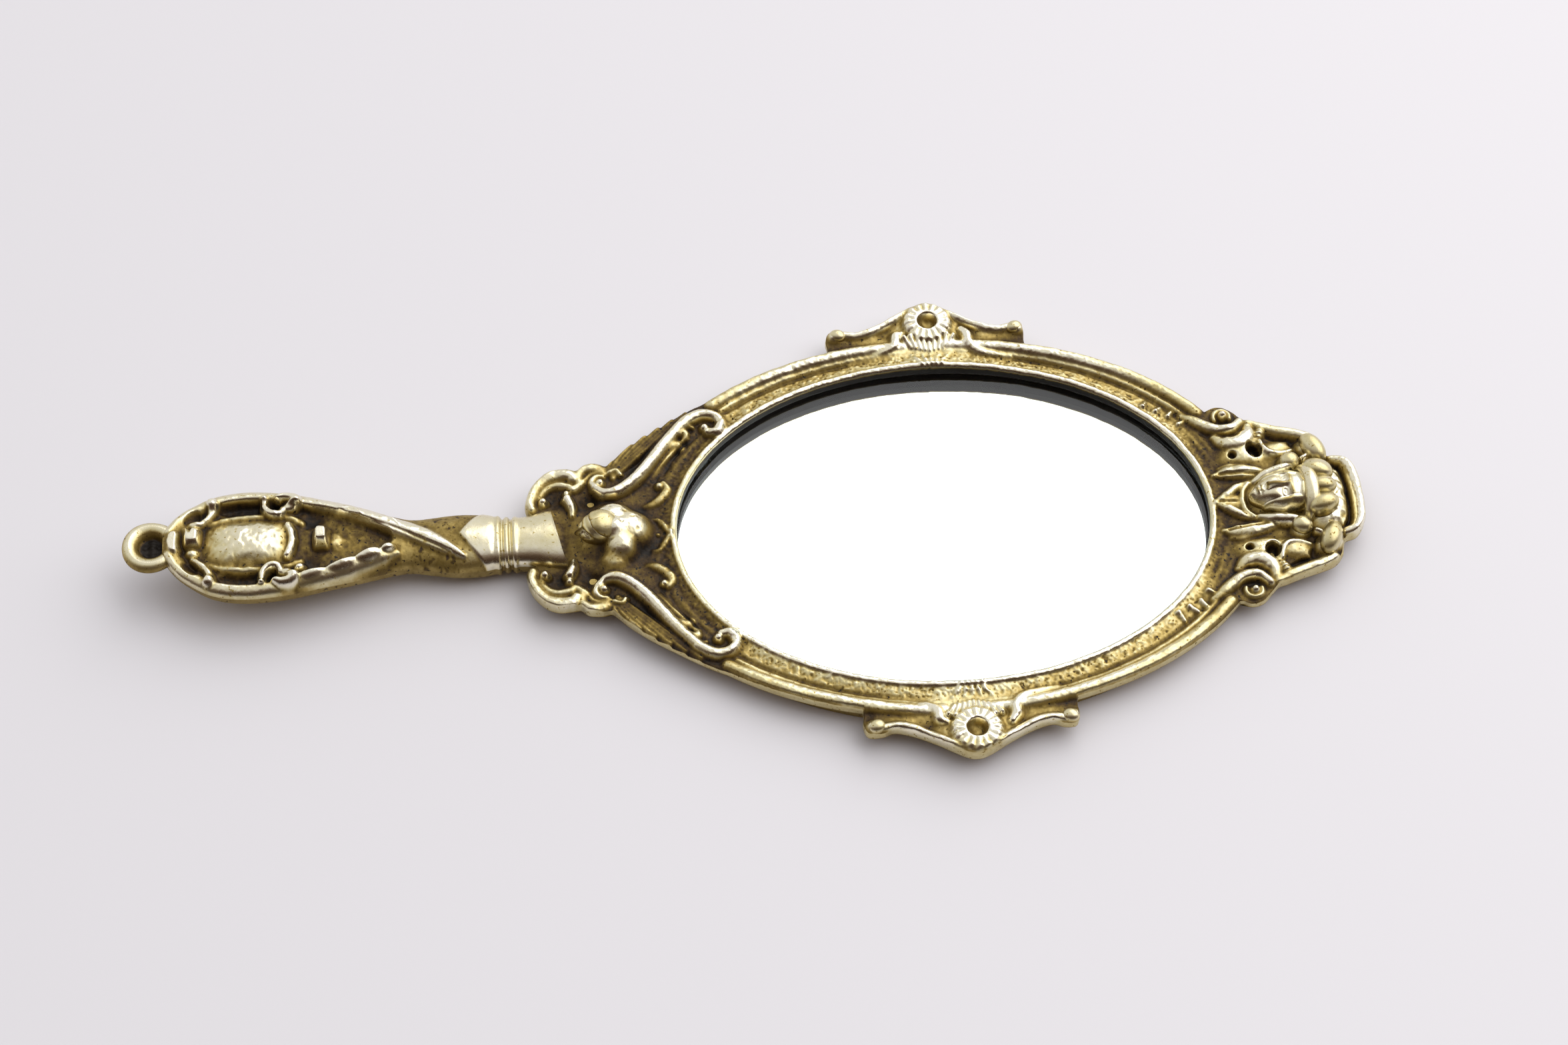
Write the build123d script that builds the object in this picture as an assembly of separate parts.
"""Ornate cast-brass hand mirror with an oval glass, lying on its back.

Millimetres. +Z is up and out of the glass, +X runs from the blind eye at the end of the handle
to the crest, and the origin is the middle of the bounding box, on the surface the mirror lies on.
The frame and the handle are two brass castings. A tang on the frame is soldered into a socket in
the neck of the handle. The glass is loaded from behind against the lip of the frame, and a card
and a brass back plate hold it, with six countersunk screws.
"""
from build123d import *
import os
from math import cos, pi, sin

os.makedirs("parts", exist_ok=True)

# ---- driving dimensions -------------------------------------------------------------------------
HEAD_X = 39.3                  # centre of the oval glass along X
SIGHT_A, SIGHT_B = 53.8, 38.4  # half axes of the opening that the glass shows through
RING_W = 7.4                   # width of the plain frame ring, from the lip to its outer edge
Z_SEAT = 0.8                   # seat of the back plate
Z_LIP_UNDER = 3.2              # underside of the lip, where the glass rests
Z_PLATE_UNDER = 3.9            # underside of the ornament plate round the ring
Z_PLATE = 5.3                  # top of the ornament plate
Z_LIP = 5.9                    # top of the lip
Z_BEAD = 6.9                   # top of the outer bead
REBATE = 2.4                   # the glass rebate is this much larger than the opening all round
PACKING_T = 0.5                # thickness of the felt strip round the glass
GLASS_T, SILVER_T, CARD_T, BACK_T = 2.0, 0.1, 0.3, 0.6
BACK_EDGE = 5.3                # the back plate is this much larger than the opening all round
RIM_EDGE = 6.6                 # outside of the rim that the mirror rests on
SCREW_LINE = 3.85              # the screws stand on an oval this much larger than the opening
SCREW_COUNT = 6
SHANK_R, SCREW_HEAD_R, SCREW_HEAD_H, SCREW_TIP_Z = 0.7, 1.25, 0.4, 3.2
NECK_END = -79.2               # end of the handle's neck, from the centre of the glass
NECK_W = 6.9                   # half width of the neck at that end
NECK_Z, NECK_R = 4.3, 3.0      # height and radius of the tang
TANG_L = 12.0
EYE_X, EYE_R, EYE_HOLLOW_R = -158.0, 5.6, 2.6  # eye at the end: centre, outside and hollow radius
EYE_Z, EYE_T, EYE_WEB = 8.7, 2.9, 0.8          # its underside, thickness, and the web that closes it
SOCKET_SPARE = 1.0             # room past the end of the tang
GRIP_BEAD_R, GRIP_BEAD_W = 4.4, 0.9            # two turned beads round the neck
CLEAR = 0.05                   # room left between curved faces


def oval(grow, z0, z1):
    """A straight oval solid, `grow` larger than the opening all round, from z0 to z1."""
    return Pos(0, 0, z0) * extrude(Ellipse(SIGHT_A + grow, SIGHT_B + grow), z1 - z0)


def oval_point(grow, angle):
    """Point at parameter `angle` of the oval that is `grow` larger than the opening."""
    return (SIGHT_A + grow) * cos(angle), (SIGHT_B + grow) * sin(angle)


def slab(points, z0, z1):
    """A flat plate with straight sides through the points, from z0 to z1."""
    return Pos(0, 0, z0) * extrude(make_face(Polyline(*points, close=True)), z1 - z0)


def mirrored(points):
    """The points and their reflections in the X axis, as one closed outline."""
    return points + [(x, -y) for x, y in reversed(points) if y]


def post(x, y, radius, z0, z1):
    """An upright cylinder."""
    return Pos(x, y, (z0 + z1) / 2) * Cylinder(radius, z1 - z0)


def dome(x, y, half_x, half_y, z0, height):
    """An upright half ellipsoid that stands at z0, made by stretching a ball."""
    ball = scale(Sphere(1.0), by=(half_x, half_y, height))
    keep = Pos(0, 0, height) * Box(4 * half_x, 4 * half_y, 2 * height)
    return Pos(x, y, z0) * (ball & keep)


# ---- frame casting ------------------------------------------------------------------------------
def crest_plate():
    """The pierced crest behind the glass, with its two shoulders."""
    half = [(44, 30), (56, 26.2), (61, 22.6), (68, 18.6), (75, 16.6), (79, 13.2), (81.5, 8)]
    return slab(mirrored(half), Z_PLATE_UNDER, Z_PLATE)


def base_plate():
    """The plate between the glass and the handle: two wings, and two scrolled ears by the neck."""
    wing = [(-36, 36), (-47, 32.2), (-60, 23.6), (-67, 17.4), (-70, 9), (-76.5, 8)]
    plate = slab(mirrored(wing), Z_PLATE_UNDER, Z_PLATE)
    for side in (1, -1):
        plate += post(-76.6, side * 9.6, 7.3, Z_PLATE_UNDER, Z_PLATE)
        plate += post(-69.6, side * 13.2, 4.6, Z_PLATE_UNDER, Z_PLATE)
    return plate


def pediment(side):
    """A pointed ornament at the side of the ring, with a pierced rosette and two rolled ends."""
    half = [(-22, 40), (-19, 47.6), (-10, 50), (0.8, 55.4), (11.6, 50), (20.6, 47.6), (24, 40)]
    plate = slab([(x, side * y) for x, y in half], Z_PLATE_UNDER, Z_PLATE + 0.6)
    for end in (-19, 20.6):
        plate += post(end, side * 48.0, 1.8, Z_PLATE_UNDER, Z_PLATE + 1.0)
    plate += post(0.8, side * 48.3, 5.6, Z_PLATE_UNDER, Z_BEAD + 0.4)
    return plate - post(0.8, side * 48.9, 1.5, Z_PLATE + 0.4, Z_BEAD + 1)


def frame_casting():
    """The whole front casting: ring, crest, base plate, pediments, high relief and tang."""
    ring = oval(RING_W, Z_PLATE_UNDER, Z_LIP) + oval(RIM_EDGE, 0, Z_PLATE_UNDER)
    bead = oval(RING_W, Z_PLATE, Z_BEAD) - oval(RING_W - 3.2, Z_PLATE - 1, Z_BEAD + 1)
    bead = fillet(bead.edges().group_by(Axis.Z)[-1], 1.2)
    body = ring + bead + crest_plate() + base_plate() + pediment(1) + pediment(-1)
    body += dome(69.5, 0, 8.0, 5.6, Z_PLATE, 7.2)                 # crest figure's head
    body += dome(78.6, 0, 6.4, 9.4, Z_PLATE, 5.2)                 # its hat
    body += dome(-66.2, 0, 6.6, 6.0, Z_PLATE, 7.4)                # cherub's head
    for side in (1, -1):
        body += dome(75.6, side * 9.4, 3.2, 4.0, Z_PLATE, 3.6)    # curls beside the hat
        body += dome(60.2, side * 19.0, 3.0, 2.8, Z_PLATE, 1.8)   # shells at the end of the bead
    shoulder = NECK_END + 0.1
    room = NECK_W + 0.3                                           # the neck passes between the ears
    body -= slab([(-95, room), (shoulder, room), (shoulder, -room), (-95, -room)], -1, 20)
    body += slab([(shoulder, 5.6), (shoulder + 11, 5.6), (shoulder + 11, -5.6), (shoulder, -5.6)], 1.0, 6.2)
    tang = Cylinder(NECK_R, TANG_L, align=(Align.CENTER, Align.CENTER, Align.MIN))
    body += Pos(shoulder, 0, NECK_Z) * Rot(0, -90, 0) * tang
    body -= oval(0, -1, 20)
    body -= oval(REBATE, -1, Z_LIP_UNDER)
    body -= oval(BACK_EDGE + 0.1, -1, Z_SEAT)
    for x, y in screw_places():
        body -= post(x, y, SHANK_R + CLEAR, Z_SEAT - 0.5, SCREW_TIP_Z + 0.2)
    return body


# ---- handle casting -----------------------------------------------------------------------------
# Stations along the handle: distance from the glass centre, half width, underside, top.
HANDLE_STATIONS = [
    (-154.2, 5.4, 8.2, 12.1),
    (-149.7, 9.4, 7.2, 12.3),
    (-138.9, 12.2, 5.6, 12.3),
    (-127.1, 10.9, 4.7, 11.5),
    (-115.4, 7.6, 3.4, 10.4),
    (-106.5, 5.2, 2.2, 9.2),
    (-96.7, 6.7, 1.2, 9.2),
    (-88.8, 6.5, 0.7, 8.9),
    (NECK_END, NECK_W, 0.3, 8.9),
]


def handle_section(station):
    """One rounded section of the handle, square to its length."""
    x, half_width, low, high = station
    plane = Plane(origin=(x, 0, (low + high) / 2), x_dir=(0, 1, 0), z_dir=(1, 0, 0))
    return plane * Ellipse(half_width, (high - low) / 2)


def handle_casting():
    """The handle: a hollowed spoon with a cartouche, a waisted neck, a socket and a blind eye."""
    body = loft([handle_section(s) for s in HANDLE_STATIONS])
    body -= Pos(-136.0, 0, 10.1) * Rot(0, 5, 0) * extrude(Ellipse(14.5, 9.0), 5.0)
    body += dome(-137.6, 0, 8.2, 5.0, 8.6, 3.6)                       # cartouche
    for x, z in ((-148.9, 9.8), (-123.8, 8.8)):
        body += Pos(x, 0, z) * Box(3.0, 3.2, 4.6)                     # square studs
    for x in (-88.4, -86.4):
        body += Pos(x, 0, NECK_Z + 0.3) * Rot(0, 90, 0) * Cylinder(GRIP_BEAD_R, GRIP_BEAD_W)
    eye = Pos(EYE_X, 0, EYE_Z + EYE_T / 2) * Cylinder(EYE_R, EYE_T)
    body += fillet(eye.edges().filter_by(GeomType.CIRCLE), 1.2)
    body -= post(EYE_X, 0, EYE_HOLLOW_R, EYE_Z + EYE_WEB, 20)
    socket_length = TANG_L + SOCKET_SPARE
    socket = Cylinder(NECK_R + CLEAR, socket_length, align=(Align.CENTER, Align.CENTER, Align.MIN))
    return body - Pos(NECK_END, 0, NECK_Z) * Rot(0, -90, 0) * socket


# ---- glass, packing and back --------------------------------------------------------------------
def screw_places():
    """Centres of the back plate screws, on an oval."""
    return [oval_point(SCREW_LINE, pi / 6 + k * 2 * pi / SCREW_COUNT) for k in range(SCREW_COUNT)]


def mirror_glass():
    """The oval glass, with its ground arris."""
    glass = oval(REBATE - PACKING_T - 2 * CLEAR, Z_LIP_UNDER - GLASS_T, Z_LIP_UNDER)
    return chamfer(glass.edges(), 0.2)


def silver_coating():
    """The silver, copper and paint on the back of the glass, which make it a mirror."""
    top = Z_LIP_UNDER - GLASS_T
    return oval(REBATE - PACKING_T - 0.4, top - SILVER_T, top)


def edge_packing():
    """The felt strip that centres the glass in its rebate."""
    bottom = Z_LIP_UNDER - GLASS_T
    strip = oval(REBATE - CLEAR, bottom, Z_LIP_UNDER)
    return strip - oval(REBATE - PACKING_T - CLEAR, bottom - 1, Z_LIP_UNDER + 1)


def backing_card():
    """The grey card between the silvering and the back plate."""
    return oval(REBATE - 3 * CLEAR, Z_SEAT, Z_SEAT + CARD_T)


def screw_hole():
    """A countersunk hole through the back plate, opening downwards from its outer face."""
    head = Cone(SCREW_HEAD_R + CLEAR, SHANK_R + CLEAR, SCREW_HEAD_H)
    return Pos(0, 0, Z_SEAT - BACK_T + SCREW_HEAD_H / 2) * head + post(0, 0, SHANK_R + CLEAR, 0, 3)


def back_plate():
    """The brass plate that closes the back, a shallow tray with six countersunk holes."""
    plate = oval(BACK_EDGE, Z_SEAT - BACK_T, Z_SEAT)
    for x, y in screw_places():
        plate -= Pos(x, y, 0) * screw_hole()
    return plate


def back_plate_screws():
    """Six slotted countersunk brass screws."""
    low = Z_SEAT - BACK_T
    head = Pos(0, 0, low + SCREW_HEAD_H / 2) * Cone(SCREW_HEAD_R, SHANK_R, SCREW_HEAD_H)
    screw = head + post(0, 0, SHANK_R, low + SCREW_HEAD_H, SCREW_TIP_Z)
    screw -= Pos(0, 0, low) * Box(4, 0.35, 0.4)
    return [Pos(x, y, 0) * screw for x, y in screw_places()]


# ---- write the nodes ----------------------------------------------------------------------------
NODES = {
    "frame_casting": frame_casting(),
    "handle_casting": handle_casting(),
    "mirror_glass": mirror_glass(),
    "silver_coating": silver_coating(),
    "edge_packing": edge_packing(),
    "backing_card": backing_card(),
    "back_plate": back_plate(),
    "back_plate_screws": Compound(back_plate_screws()),
}
for name, shape in NODES.items():
    placed = Pos(HEAD_X, 0, 0) * shape
    export_step(placed, f"parts/{name}.step")
    box = placed.bounding_box()
    print(name, "solids", len(placed.solids()), "volume", round(placed.volume, 1),
          "x", round(box.min.X, 2), round(box.max.X, 2), "y", round(box.min.Y, 2), round(box.max.Y, 2),
          "z", round(box.min.Z, 2), round(box.max.Z, 2))
